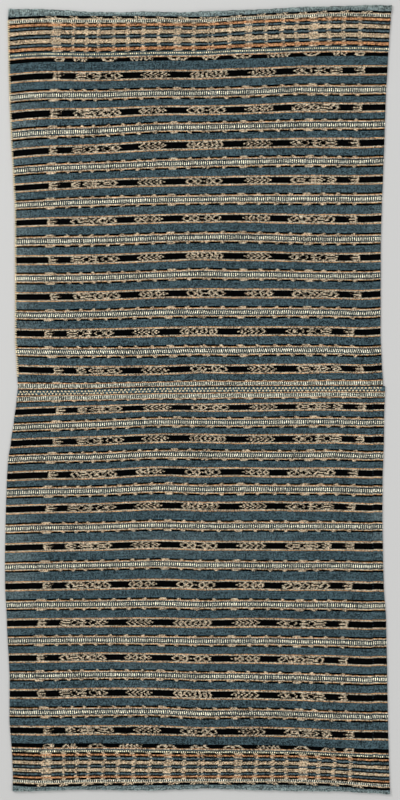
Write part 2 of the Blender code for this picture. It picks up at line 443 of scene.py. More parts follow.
def lower_stripes():
    """The lower panel's stripes: kind, upper and lower edge in metres."""
    bottom = float(cross_line("bottom_hem", REFERENCE_X)) / MM
    seam = float(cross_line("seam", REFERENCE_X)) / MM - SEAM_GAP / 2.0 / MM
    start, edge = stack_down(BELOW_SEAM, seam)
    bands, edge = plan_stripes(edge, LOWER_BLUES, ("ladder", "ikat"), (LOWER_LADDER_WIDTH, IKAT_WIDTH))
    border_top = bottom + sum(width for _, width in BOTTOM_BORDER)
    border, _ = stack_down(BOTTOM_BORDER, border_top)
    return in_metres(start + bands + [("blue", edge, border_top)] + border)


# Lengths of the weave, in metres: a yarn, a weft pick, a ladder tick, a tooth and a wave of a stripe's edge, a bundle
# of yarns tied together, a cell of uneven dye, a run of it along the warp and up the cloth, and a step of the charts.
YARN = 0.00048
PICK = 0.00117
TICK = 0.0037
TOOTH = 0.0016
WAVE_LENGTH = 0.009
BUNDLE = 0.0013
GRAIN = 0.0017
LONG_RUN = 0.021
SHORT_RUN = 0.011
PIXEL = 0.00175

# Noises over the face: how many to a metre along the warp and up the cloth, and their detail.
STREAKS = (62.0, 820.0, 3.0)
SPECKLE = (740.0, 700.0, 2.0)
SPARKS = (380.0, 700.0, 2.0)
SLIPS = (40.0, 420.0, 2.0)
MOTTLE = (230.0, 700.0, 2.0)
CLOUDS = (24.0, 240.0, 3.0)
FLECKS = (290.0, 620.0, 2.0)
HEM_STREAKS = (60.0, 520.0, 3.0)
PATCHES = 26.0

# How strongly each unevenness changes the light of a stripe, and the least light.
CELL_CONTRAST = 1.70
LONG_RUN_CONTRAST = 0.50
SHORT_RUN_CONTRAST = 0.34
STREAK_CONTRAST = 1.25
SPECKLE_CONTRAST = 2.10
PATCH_CONTRAST = 0.45
PALENESS_CONTRAST = 0.20
DARKEST = 0.2

# The surface: heights of speckle, weft picks and warp yarns, strength and depth of the bump, roughness and shine.
SPECKLE_HEIGHT = 0.9
PICK_HEIGHT = 0.30
YARN_HEIGHT = 0.16
BUMP_STRENGTH = 0.55
BUMP_DEPTH = 0.0004
ROUGHNESS = 0.93
SHINE = 0.03

# How far the pattern slides, in metres: from bundle to bundle, smoothly over the face, and slowly along the stripe.
DASH_SLIP = (0.0034, 0.0060, 0.010)
FIGURE_SLIP = (0.0030, 0.0040, 0.012)

# Sewing thread: sides of its section, how flat it lies, how thin its ends are, radii, and how deep its ends sink in.
THREAD_SIDES = 6
THREAD_SQUASH = 0.7
THREAD_END = 0.45
SEAM_THREAD = 0.00035
HEM_THREAD = 0.00030
STITCH_SINK = 0.0003
ZIGZAG_BELOW_SEAM = 0.0058
SMALLEST = 1e-9
SHARP_ANGLE = math.radians(50.0)


def shade(red, green, blue):
    """A colour given as it looks, 0 to 255, in the renderer's linear values."""
    linear = []
    for value in (red, green, blue):
        share = value / 255.0
        linear.append(share / 12.92 if share <= 0.04045 else ((share + 0.055) / 1.055) ** 2.4)
    return (*linear, 1.0)


BLUE = shade(67, 86, 92)
DEEP_BLUE = shade(47, 61, 67)
BLACK = shade(2, 3, 4)
BROWN = shade(74, 56, 42)
CREAM = shade(196, 185, 160)
PALE = shade(194, 176, 148)
TAN = shade(204, 185, 154)
DARK_TAN = shade(168, 144, 112)
ORANGE = shade(194, 142, 98)
EDGE_CREAM = shade(178, 169, 148)
EDGE_ORANGE = shade(192, 140, 86)
RUST = shade(140, 88, 58)
LADDER_GAP = shade(18, 42, 52)
TICK_GAP = shade(38, 58, 65)
SEAM_TICK_GAP = shade(64, 76, 75)
TICK_LIGHT = shade(244, 238, 212)
SEAM_TICK_LIGHT = shade(222, 219, 198)
FIGURE_CREAM = shade(192, 178, 152)
DOT_LIGHT = shade(252, 244, 204)
# Pale blue of the hem's roll: faded dye with a painted highlight on it.
FADED_HEM_BLUE_WITH_HIGHLIGHT = shade(130, 143, 140)
PALED_BLUE = shade(150, 158, 152)
SPARK_GREY = shade(118, 122, 112)

NONE = (0.0, 0.0, 0.0, 1.0)
FULL = (1.0, 1.0, 1.0, 1.0)
CHART_MARKS = {"#": NONE, "+": (0.42, 0.42, 0.42, 1.0), ".": FULL}


def mirrored(*rows):
    """A chart whose lower rows mirror its upper ones."""
    return rows + rows[-2::-1]


# Ikat figures, drawn for one half of a stripe: a dot is undyed cream, a plus half dyed, a hash black. The
# stripe's outer end is on the left and its middle on the right; the other half mirrors it.
POST = ("...+..++##", "..+######+", "........++", "..+#######", "....+..+##")
LENS_CHAIN = mirrored(
    "##......" "##+..+##" "#....###" "##+..+##" "##..####",
    "..######" "#.####.#" "###.####" "#.####.#" "..##..##",
    "##......" ".+####+." "......##" ".+####+." "..####..",
)
WAVE_CHAIN = (
    "###...##" "......##" "####..##" "#......#" "#...####",
    "#..##..#" "######.." "##..##.." "..##..##" "..##..##",
    "..####.." "#......#" "..####.." ".######." "#.####..",
    "#..###.." "..######" "#..##..#" "..##.#.#" "##..##..",
    "##..####" "##......" "##..####" "#......#" "####...#",
)
WEDGE_CHAIN = mirrored(
    "##....##" "######.." "#......#" "....####" "##...###",
    "....##.." "####..##" "##.##.##" "####...." "..##..##",
    "..##..##" "##..##.." "........" "###..###" ".####..#",
)
SLANTS = mirrored(
    "######..###..####..###..########",
    "####..####..###..####..##..#####",
    "##..####..###..###..####..##..##",
)
BROKEN_DIAMONDS = mirrored(
    "#####..#####..######..##########",
    "###..#..##..#..###..#..##..#####",
    "##..###....###..#..###....##..##",
)
MIDDLE_CROSS = mirrored("##..##..####..###..", "#..##....##..##..##", "..###.##.#..####..#")
MIDDLE_LENSES = mirrored("###....####....####", "#..####..#..##..###", "..######...####..#.")
HALF_FOOT = ("..........", ".+####+...", "..####....", "#........#")
HALF_SLANTS = ("..###..#...##..", "#..##..##..#..#", "##..#.###..+.##", "##..####..#..##")
HALF_BOAT = ("...##########...##", "#...####..###..###", "##....###....#####", "####........######")
HALF_HEARTS = (
    "..##..##..##..##..##...#",
    "#..#..#..###..#..##..##.",
    "##...##...#...##....##.#",
    "###.###..###.####..####.",
)
HALF_LEAF = ("...######..######...", "#...####....####...#", "##.....#....#.....##", "####......##....####")
HALF_MIDDLE = ("...###...", "#..##..#.", "##.....##", "###...###")
HOOK = (".....#######", "#..##..##..#", "##..#.......")

# Each figure's outer end, counted in chart steps from the middle of the stripe, and its width in steps.
POST_PLACE = (155.0, 10.0)
CHAIN_PLACE = (133.0, 48.0)
SLANTS_PLACE = (69.0, 32.0)
CROSS_PLACE = (19.0, 19.0)
HALF_FIGURES = (
    (HALF_FOOT, (155.0, 10.0)), (HALF_SLANTS, (137.0, 15.0)), (HALF_BOAT, (110.0, 18.0)),
    (HALF_HEARTS, (81.0, 24.0)), (HALF_LEAF, (42.0, 20.0)), (HALF_MIDDLE, (9.0, 9.0)),
)

HOOKS = (
    (HOOK, (163.0, 11.0)), (HOOK, (140.0, 9.0)), (HOOK, (118.0, 12.0)), (HOOK, (97.0, 9.0)),
    (HOOK, (77.0, 12.0)), (HOOK, (55.0, 9.0)), (HOOK, (32.0, 12.0)), (HOOK, (9.0, 9.0)),
)

# The cream breaks in the black guard lines, from the outermost inwards: outer end and width in the same steps. The two
# halves differ a little. A trim shortens both ends of a break.
DASHES = ((158, 10), (137.5, 3.5), (124.5, 3.5), (112.5, 3.5), (97.5, 3.5), (83.5, 4), (68, 4), (52, 4),
          (35.5, 8), (17.5, 4), (2, 2))
RIGHT_DASHES = ((152, 4), (135.5, 4), (121, 5), (108, 9), (88.5, 4), (74.5, 4), (57.5, 4), (42, 8), (21, 4),
                (4, 3))
DASH_REACH = 170.0
HUMP_TRIM = 0.9
GUARD_TRIM = 0.35

# Shares through a stripe where each colour begins, and the parts of it that hold figures.
IKAT_CORE = (0.205, 0.795)
HALF_CORE = 0.82
IKAT_EDGES = ((0.0, BLUE), (0.03, EDGE_ORANGE), (0.10, EDGE_CREAM), (0.20, BLACK), (0.80, EDGE_CREAM),
              (0.90, EDGE_ORANGE), (0.97, BLUE))
LADDER = ((0.0, BLACK), (0.14, EDGE_ORANGE), (0.18, EDGE_CREAM), (0.27, LADDER_GAP), (0.635, LADDER_GAP),
          (0.73, EDGE_CREAM), (0.815, EDGE_ORANGE), (0.855, BLACK))
LADDER_ABOVE_SEAM = ((0.0, BLACK), (0.15, ORANGE), (0.25, CREAM), (0.30, SEAM_TICK_GAP), (0.84, CREAM),
                     (0.90, ORANGE), (0.96, BLACK))
LADDER_BELOW_SEAM = ((0.0, ORANGE), (0.07, CREAM), (0.145, SEAM_TICK_GAP), (0.67, CREAM), (0.77, ORANGE),
                     (0.83, BLACK), (0.985, BLUE))


class Flow:
    """A value inside a node tree, with arithmetic that adds the nodes for it."""

    def __init__(self, weave, socket):
        self.weave = weave
        self.socket = socket

    def __add__(self, other):
        return self.weave.calc("ADD", self, other)

    def __sub__(self, other):
        return self.weave.calc("SUBTRACT", self, other)

    def __rsub__(self, other):
        return self.weave.calc("SUBTRACT", other, self)

    def __mul__(self, other):
        return self.weave.calc("MULTIPLY", self, other)

    def __truediv__(self, other):
        return self.weave.calc("DIVIDE", self, other)

    def __gt__(self, other):
        return self.weave.calc("GREATER_THAN", self, other)

    def __lt__(self, other):
        return self.weave.calc("LESS_THAN", self, other)

    def size(self):
        return self.weave.calc("ABSOLUTE", self)

    def clamped(self):
        """The same value, kept between 0 and 1."""
        self.socket.node.use_clamp = True
        return self


class Weave:
    """The node tree of one cotton, with short calls for the steps that the stripes share."""

    def __init__(self, name, mapped=True):
        self.material = bpy.data.materials.new(name)
        self.material.use_nodes = True
        self.tree = self.material.node_tree
        self.shader = self.tree.nodes["Principled BSDF"]
        if mapped:
            self.along, self.up = self.split("warp")
            self.through, self.seed = self.split("stripe")

    def node(self, kind, **settings):
        made = self.tree.nodes.new(kind)
        for name, value in settings.items():
            setattr(made, name, value)
        return made

    def feed(self, socket, value):
        if isinstance(value, Flow):
            self.tree.links.new(value.socket, socket)
        else:
            socket.default_value = value

    def through_node(self, made, output, *values):
        """The output of a node whose first inputs take the values."""
        for socket, value in zip(made.inputs, values):
            self.feed(socket, value)
        return Flow(self, made.outputs[output])

    def split(self, name):
        """The two coordinates of one of the cloth's maps."""
        place = Flow(self, self.node("ShaderNodeUVMap", uv_map=name).outputs["UV"])
        parts = self.node("ShaderNodeSeparateXYZ")
        return self.through_node(parts, "X", place), Flow(self, parts.outputs["Y"])

    def vector(self, *values):
        return self.through_node(self.node("ShaderNodeCombineXYZ"), "Vector", *values)

    def calc(self, operation, *values):
        return self.through_node(self.node("ShaderNodeMath", operation=operation), "Value", *values)

    def noise(self, vector, detail):
        """Smooth noise from about -0.5 to 0.5."""
        made = self.node("ShaderNodeTexNoise")
        self.feed(made.inputs["Vector"], vector)
        made.inputs["Scale"].default_value = 1.0
        made.inputs["Detail"].default_value = detail
        return Flow(self, made.outputs["Fac"]) - 0.5

    def spots(self, per_metre_along, per_metre_up, detail):
        """Noise over the face of one stripe."""
        return self.noise(self.vector(self.along * per_metre_along, self.up * per_metre_up, self.seed), detail)

    def sway(self, per_metre_along, layer, detail):
        """Noise along one stripe, the same from edge to edge."""
        return self.noise(self.vector(self.along * per_metre_along, self.seed, layer), detail)

    def chance(self, *values):
        """A separate random number, from -0.5 to 0.5, for each whole step of the values."""
        made = self.node("ShaderNodeTexWhiteNoise", noise_dimensions="3D")
        return self.through_node(made, "Value", self.vector(*values)) - 0.5

    def cell(self, value, size):
        return self.calc("FLOOR", value / size)

    def ramp(self, share, stops, interpolation="CONSTANT"):
        made = self.node("ShaderNodeValToRGB")
        made.color_ramp.interpolation = interpolation
        elements = made.color_ramp.elements
        elements.remove(elements[1])
        elements[0].position, elements[0].color = stops[0]
        for place, colour in stops[1:]:
            elements.new(place).color = colour
        return self.through_node(made, "Color", share)

    def mix(self, share, first, second):
        made = self.node("ShaderNodeMix", data_type="RGBA")
        for number, value in ((0, share), (6, first), (7, second)):
            self.feed(made.inputs[number], value)
        return Flow(self, made.outputs[2])

    def wavering(self, amount, flip=False):
        """The share through the stripe, with edges that waver along it and step from pick to pick."""
        wave = self.sway(1.0 / WAVE_LENGTH, 0.0, 2.0)
        teeth = self.sway(1.0 / TOOTH, 3.0, 0.0)
        share = teeth * (amount * 1.3) + (wave * amount + self.through)
        return 1.0 - share if flip else share

    def between(self, value, *ends):
        """1 where a value lies between two others."""
        return (value > min(ends)) * (value < max(ends))

    def sparkled(self, colour):
        """A pale colour with orange and grey in its single floats."""
        tone = self.through_node(self.node("ShaderNodeRGBToBW"), "Val", colour)
        spot = self.spots(*SPARKS) * tone
        warm = self.mix((spot * 8.0).clamped(), colour, RUST)
        return self.mix((spot * -9.0).clamped(), warm, SPARK_GREY)

    def finish(self, colour, unevenness=1.0, paling=0.0):
        """Yarn streaks, speckle, weft picks, paler and deeper places and ribs over a stripe's colour."""
        pick = self.cell(self.along, GRAIN)
        yarns = self.cell(self.up, GRAIN)
        speckle = self.spots(*SPECKLE)
        light = self.chance(pick, yarns, self.seed) * (CELL_CONTRAST * unevenness) + 1.0
        long_run = self.chance(yarns, self.cell(self.along, LONG_RUN), 6.0)
        light = long_run * (LONG_RUN_CONTRAST * unevenness) + light
        short_run = self.chance(pick, self.cell(self.up, SHORT_RUN), 6.0)
        light = short_run * (SHORT_RUN_CONTRAST * unevenness) + light
        light = self.spots(*STREAKS) * (STREAK_CONTRAST * unevenness) + light
        light = speckle * (SPECKLE_CONTRAST * unevenness) + light
        patches = self.noise(self.vector(self.along * PATCHES, self.up * PATCHES, 0.0), 3.0)
        light = patches * PATCH_CONTRAST + light
        # Patches where the cloth's colour is made paler or deeper, read from the mesh's point attribute.
        paleness_here = Flow(self, self.node("ShaderNodeAttribute", attribute_name="paleness").outputs["Fac"])
        light = self.calc("MAXIMUM", paleness_here * PALENESS_CONTRAST + light, DARKEST)
        # Where the cloth is made paler, the blue is also mixed towards a greyer pale blue.
        if paling > 0.0:
            colour = self.mix(self.calc("MAXIMUM", paleness_here, 0.0) * paling, colour, PALED_BLUE)
        lit = self.node("ShaderNodeVectorMath", operation="SCALE")
        self.feed(lit.inputs["Scale"], light)
        self.feed(self.shader.inputs["Base Color"], self.through_node(lit, "Vector", colour))
        rib = self.calc("SINE", self.along * (2.0 * math.pi / PICK))
        wale = self.calc("SINE", self.up * (2.0 * math.pi / YARN))
        bump = self.node("ShaderNodeBump")
        bump.inputs["Strength"].default_value = BUMP_STRENGTH
        bump.inputs["Distance"].default_value = BUMP_DEPTH
        self.feed(bump.inputs["Height"], speckle * SPECKLE_HEIGHT + (rib * PICK_HEIGHT + wale * YARN_HEIGHT))
        self.feed(self.shader.inputs["Normal"], Flow(self, bump.outputs["Normal"]))
        self.shader.inputs["Roughness"].default_value = ROUGHNESS
        self.shader.inputs["Specular IOR Level"].default_value = SHINE
        return self.material

    def from_middle(self, bundle_slip, slow_slip, drift):
        """Place across from the pattern's middle, with each tied bundle of yarns slid a little, as on the loom."""
        slip = self.chance(self.cell(self.up, BUNDLE), self.seed, 7.0)
        moved = slip * bundle_slip + self.along
        moved = self.spots(*SLIPS) * slow_slip + moved
        return self.sway(9.0, 5.0, 1.0) * drift + moved

    def break_ramp(self, reach, breaks, trim):
        """1 in the breaks of one half of a guard line."""
        stops = [(0.0, NONE)]
        for start, width in reversed(breaks):
            first = (start - width + trim) / DASH_REACH
            if first > 0.0:
                stops.append((first, FULL))
            else:
                stops[0] = (0.0, FULL)
            stops.append(((start - trim) / DASH_REACH, NONE))
        return self.ramp(reach, stops)

    def dashes(self, trim=0.0):
        """1 in the cream breaks of a guard line, each shortened by the trim at both ends."""
        place = self.from_middle(*DASH_SLIP)
        reach = (place.size() / (DASH_REACH * PIXEL)).clamped()
        left = self.break_ramp(reach, DASHES, trim)
        return self.mix(place > 0.0, left, self.break_ramp(reach, RIGHT_DASHES, trim))

    def chart_row(self, share, row):
        """One row of a chart along its figure, read from the outer end."""
        stops = [(0.0, NONE)]
        before = None
        for number, mark in enumerate(row):
            if mark != before:
                stops.append((0.004 + 0.99 * number / len(row), CHART_MARKS[mark]))
            before = mark
        stops.append((0.996, NONE))
        return self.ramp(share, stops)

    def figures(self, placed, core, rows):
        """Light of all the figures in the core of a stripe: (chart, place) pairs, share through the core, rows."""
        distance = self.from_middle(*FIGURE_SLIP).size() / PIXEL
        totals = [None] * rows
        for chart, (start, width) in placed:
            share = ((start - distance) / width).clamped()
            for number in range(rows):
                light = self.chart_row(share, chart[number])
                totals[number] = light if totals[number] is None else totals[number] + light
        level = self.sway(260.0, 2.0, 1.0) * 0.6 + core * float(rows)
        light = totals[0]
        for number in range(1, rows):
            light = self.mix(level > float(number), light, totals[number])
        light = self.spots(*MOTTLE) * 1.5 + light
        return self.ramp(light, [(0.0, BLACK), (0.42, BLACK), (0.54, BROWN), (0.68, FIGURE_CREAM)], "LINEAR")

    def ticks(self, colour_between, colour, width=0.44):
        """Cross bars of cream floats with dark gaps, each bar a little brighter or duller than the next."""
        count = self.sway(60.0, 4.0, 2.0) * 0.25 + self.along / TICK
        bright = self.chance(self.calc("FLOOR", count), self.seed, 1.0) * 0.45 + 0.885
        strength = (self.sway(42.0, 9.0, 2.0) * 1.1 + bright).clamped()
        bar = (self.calc("FRACT", count) - 0.5).size() < width / 2.0
        return self.mix(bar * strength, colour_between, colour)


def blue_cotton():
    weave = Weave("blue_cotton")
    share = (weave.spots(*CLOUDS) * 0.75 + 0.38).clamped()
    return weave.finish(weave.mix(share, BLUE, DEEP_BLUE), 1.0, 0.14)


def ikat_cotton(name, chain, slants, middle):
    """A black stripe with tied figures between cream and orange edges."""
    weave = Weave(name)
    through = weave.wavering(0.045)
    first, last = IKAT_CORE
    placed = ((POST, POST_PLACE), (chain, CHAIN_PLACE), (slants, SLANTS_PLACE), (middle, CROSS_PLACE))
    figure = weave.figures(placed, (through - first) / (last - first), 5)
    edges = weave.ramp(through, IKAT_EDGES)
    return weave.finish(weave.sparkled(weave.mix(weave.between(through, first, last), edges, figure)))


def half_ikat_cotton(name, flip):
    """A half stripe whose figures hang from its cream edge."""
    weave = Weave(name)
    through = weave.wavering(0.10, flip)
    figure = weave.figures(HALF_FIGURES, through / HALF_CORE, 4)
    past = weave.ramp(through, [(0.0, BLACK), (0.93, BLUE)])
    return weave.finish(weave.sparkled(weave.mix(weave.between(through, -1.0, HALF_CORE), past, figure)))


def ladder_cotton(name, edges, bars, broken_lines, between_bars=TICK_GAP, bar_colour=TICK_LIGHT):
    """Cross bars between blue, cream, orange and broken black lines."""
    weave = Weave(name)
    through = weave.wavering(0.045)
    base = weave.sparkled(weave.ramp(through, edges))
    base = weave.mix(weave.between(through, *bars), base, weave.ticks(between_bars, bar_colour))
    for near, middle, far in broken_lines:
        wide = weave.between(through, near, middle) * weave.dashes()
        narrow = weave.between(through, middle, far) * weave.dashes(HUMP_TRIM)
        base = weave.mix(wide + narrow, base, weave.sparkled(PALE))
    return weave.finish(base)


def guard_cotton(name, above, below):
    """Two black lines with a blue one between, broken by the cream of the next stripe."""
    weave = Weave(name)
    through = weave.wavering(0.11)
    base = weave.ramp(through, [(0.0, above), (0.06, BLACK), (0.33, BLUE), (0.67, BLACK), (0.94, below)])
    black = weave.between(through, 0.06, 0.94) - weave.between(through, 0.36, 0.64)
    return weave.finish(weave.sparkled(weave.mix(black * weave.dashes(GUARD_TRIM), base, PALE)))


def broken_cotton():
    """One thin black line with cream breaks."""
    weave = Weave("broken_cotton")
    return weave.finish(weave.sparkled(weave.mix(weave.dashes(), BLACK, PALE)))


def flecked_cotton(name, ground, fleck, high, amount):
    """A ground with short flecks of another colour along the yarns."""
    weave = Weave(name)
    share = (weave.spots(*FLECKS) * high + amount).clamped()
    return weave.finish(weave.sparkled(weave.mix(share, ground, fleck)))


def fleck_line_cotton(name, flip):
    """A black line with small cream hooks beside the hem, and a thin tan one."""
    weave = Weave(name)
    through = weave.wavering(0.16, flip)
    figure = weave.figures(HOOKS, (through - 0.10) / 0.58, 3)
    base = weave.ramp(through, [(0.0, BLACK), (0.68, BROWN), (0.77, TAN)])
    return weave.finish(weave.sparkled(weave.mix(weave.between(through, 0.10, 0.68), base, figure)))


def tick_cotton():
    """A row of ticks between two cream lines."""
    weave = Weave("tick_cotton")
    inside = weave.between(weave.wavering(0.10), 0.14, 0.86)
    return weave.finish(weave.mix(inside, weave.sparkled(CREAM), weave.ticks(TICK_GAP, SEAM_TICK_LIGHT)))


def dot_cotton():
    """One row of cream dots on blue."""
    weave = Weave("dot_cotton")
    inside = weave.between(weave.wavering(0.16), 0.08, 0.92)
    return weave.finish(weave.mix(inside, DEEP_BLUE, weave.ticks(DEEP_BLUE, DOT_LIGHT, 0.5)))


def cream_line_cotton(name, flip):
    """A cream and an orange line beside a black one."""
    weave = Weave(name)
    lines = [(0.0, DEEP_BLUE), (0.12, CREAM), (0.60, ORANGE), (0.92, BLACK)]
    return weave.finish(weave.sparkled(weave.ramp(weave.wavering(0.14, flip), lines)))


def zigzag_ground_with_seam_shadow_cotton():
    """The blue strip under the zigzag: a painted shadow line along the seam above it and a black line below."""
    weave = Weave("zigzag_ground_with_seam_shadow_cotton")
    # The dark band next to the seam, up to 0.115 of the strip, is painted shadow of the upper panel's edge.
    return weave.finish(weave.ramp(weave.wavering(0.05), [(0.0, BLACK), (0.115, BLUE), (0.885, BLACK)]))


def hem_cotton(name, flip, depth):
    """The turned edge: pale on its roll from faded dye and a painted highlight, and darker towards the cloth."""
    weave = Weave(name)
    inward = 1.0 - weave.through if flip else weave.through
    # The pale blue on the roll's outer edge is faded dye with a painted highlight, giving way to plain blue inwards.
    share = (inward * 0.50 + (weave.spots(*HEM_STREAKS) * 1.8 + depth)).clamped()
    return weave.finish(weave.mix(share, FADED_HEM_BLUE_WITH_HIGHLIGHT, BLUE), 0.9)


def thread_cotton(name, colour, other):
    """Twisted sewing thread."""
    weave = Weave(name, mapped=False)
    fibres = weave.node("ShaderNodeTexNoise")
    fibres.inputs["Scale"].default_value = 900.0
    fibres.inputs["Detail"].default_value = 3.0
    place = Flow(weave, weave.node("ShaderNodeTexCoord").outputs["Object"])
    share = weave.through_node(fibres, "Fac", place)
    bump = weave.node("ShaderNodeBump")
    bump.inputs["Strength"].default_value = 0.6
    bump.inputs["Distance"].default_value = 0.0002
    weave.feed(bump.inputs["Height"], share)
    weave.feed(weave.shader.inputs["Normal"], Flow(weave, bump.outputs["Normal"]))
    weave.feed(weave.shader.inputs["Base Color"], weave.mix(share, colour, other))
    weave.shader.inputs["Roughness"].default_value = 0.9
    weave.shader.inputs["Specular IOR Level"].default_value = 0.15
    return weave.material


def stripe_materials():
    """One material for each kind of stripe."""
    return {
        "blue": blue_cotton(),
        "ikat_lens": ikat_cotton("ikat_lens_cotton", LENS_CHAIN, SLANTS, MIDDLE_CROSS),
        "ikat_wave": ikat_cotton("ikat_wave_cotton", WAVE_CHAIN, BROKEN_DIAMONDS, MIDDLE_LENSES),
        "ikat_wedge": ikat_cotton("ikat_wedge_cotton", WEDGE_CHAIN, SLANTS, MIDDLE_LENSES),
        "ladder": ladder_cotton("ladder_cotton", LADDER, (0.370, 0.640), ((0.145, 0.070, -0.5), (0.85, 0.93, 1.5))),
        "ladder_above_seam": ladder_cotton("seam_ladder_cotton", LADDER_ABOVE_SEAM, (0.34, 0.81),
                                           ((0.15, 0.07, -0.5),), SEAM_TICK_GAP, SEAM_TICK_LIGHT),
        "ladder_below_seam": ladder_cotton("zigzag_ladder_cotton", LADDER_BELOW_SEAM, (0.18, 0.64),
                                           ((0.83, 0.92, 1.5),), SEAM_TICK_GAP, SEAM_TICK_LIGHT),
        "guard": guard_cotton("guard_cotton", TAN, TAN),
        "guard_below_orange": guard_cotton("upper_guard_cotton", ORANGE, TAN),
        "guard_above_orange": guard_cotton("lower_guard_cotton", TAN, ORANGE),
        "tan": flecked_cotton("tan_cotton", TAN, DARK_TAN, 4.0, 0.30),
        "orange": flecked_cotton("orange_cotton", ORANGE, RUST, 3.2, 0.24),
        "broken": broken_cotton(),
        "fleck": fleck_line_cotton("fleck_line_cotton", False),
        "fleck_low": fleck_line_cotton("low_fleck_line_cotton", True),
        "ticks": tick_cotton(),
        "dots": dot_cotton(),
        "cream_line": cream_line_cotton("cream_line_cotton", False),
        "cream_line_low": cream_line_cotton("low_cream_line_cotton", True),
        "hanging_ikat": half_ikat_cotton("hanging_ikat_cotton", False),
        "standing_ikat": half_ikat_cotton("standing_ikat_cotton", True),
        "hem": hem_cotton("hem_cotton", False, 0.08),
        "hem_low": hem_cotton("low_hem_cotton", True, 0.28),
        "zigzag_ground": zigzag_ground_with_seam_shadow_cotton(),
    }


# The baked map: the front layer, the folds and the back one side by side, then a narrow strip for the inside.
BAKE_START = 0.004
BAKE_FRONT = 0.716
BAKE_FOLD = 0.006
BAKE_BACK = 0.246
BAKE_INNER = (0.982, 0.998)
BAKE_RIM = 0.006


def loop_stations():
    """The loop's cross-section, from the left fold over the front, round the right fold and back underneath."""
    stations = [("front", step / FRONT_COLUMNS) for step in range(FRONT_COLUMNS + 1)]
    stations += [("right", step / FOLD_STEPS) for step in range(1, FOLD_STEPS)]
    stations += [("back", 1.0 - step / BACK_COLUMNS) for step in range(BACK_COLUMNS + 1)]
    stations += [("left", step / FOLD_STEPS) for step in range(1, FOLD_STEPS)]
    return stations


def bake_places(stations):
    """Place of each station across the baked map, and of the loop's end."""
    right = BAKE_START + BAKE_FRONT
    back = right + BAKE_FOLD
    left = back + BAKE_BACK
    starts = {"front": (BAKE_START, BAKE_FRONT), "right": (right, BAKE_FOLD), "back": (left, -BAKE_BACK),
              "left": (left, BAKE_FOLD)}
    places = [starts[part][0] + starts[part][1] * share for part, share in stations]
    return np.array(places + [left + BAKE_FOLD])


def pattern_middle(place):
    """Where the mirrored pattern has its middle, in metres across."""
    rows = np.array(PATTERN_MIDDLES[::-1], dtype=float) * MM
    return float(np.interp(place, rows[:, 0], rows[:, 1]))


def lay_row(panel, stations, place):
    """One row of the loop: outer points, inner points and the run of each point along the warp."""
    folds = []
    for name, guess in (("left", -OUTER_X), ("right", OUTER_X)):
        across = panel.side(name, place, guess)
        folds.append(panel.side(name, float(panel.along(place, np.array([across]))[0]), across))
    thickness = CLOTH_THICKNESS + HEM_EXTRA * panel.in_hem(place)
    inner_radius = LAYER_GAP / 2.0
    radius = thickness + inner_radius
    flat_left = folds[0] + radius
    flat_right = folds[1] - radius
    parts = np.array([part for part, _ in stations])
    shares = np.array([share for _, share in stations])
    out_x = flat_left + (flat_right - flat_left) * shares
    in_x = out_x.copy()
    run = out_x.copy()
    out_z = np.zeros(len(stations))
    in_z = np.full(len(stations), thickness)
    for name, edge, sign in (("right", flat_right, 1.0), ("left", flat_left, -1.0)):
        here = parts == name
        turn = math.pi * shares[here]
        out_x[here] = edge + sign * radius * np.sin(turn)
        in_x[here] = edge + sign * inner_radius * np.sin(turn)
        run[here] = edge + sign * radius * np.minimum(turn, math.pi - turn)
        out_z[here] = radius + sign * radius * np.cos(turn)
        in_z[here] = radius + sign * inner_radius * np.cos(turn)
    along = panel.along(place, out_x)
    settle = np.clip(np.minimum(out_x - flat_left, flat_right - out_x) / FOLD_BLEND, 0.0, 1.0)
    raised = 2.0 * radius + (swell(out_x, along) + panel.selvedge_lift(out_x, along)) * settle
    is_front = parts == "front"
    out_z[is_front] = raised[is_front]
    in_z[is_front] = raised[is_front] - thickness
    return np.stack([out_x, along, out_z], 1), np.stack([in_x, along, in_z], 1), run - pattern_middle(place)


# Corners of a strip's faces as (row, column) pairs, for faces that look outwards, inwards and down.
OUTWARDS = ((0, 0), (1, 0), (1, 1), (0, 1))
INWARDS = ((0, 0), (0, 1), (1, 1), (1, 0))
DOWNWARDS = ((0, 1), (0, 0), (1, 0), (1, 1))


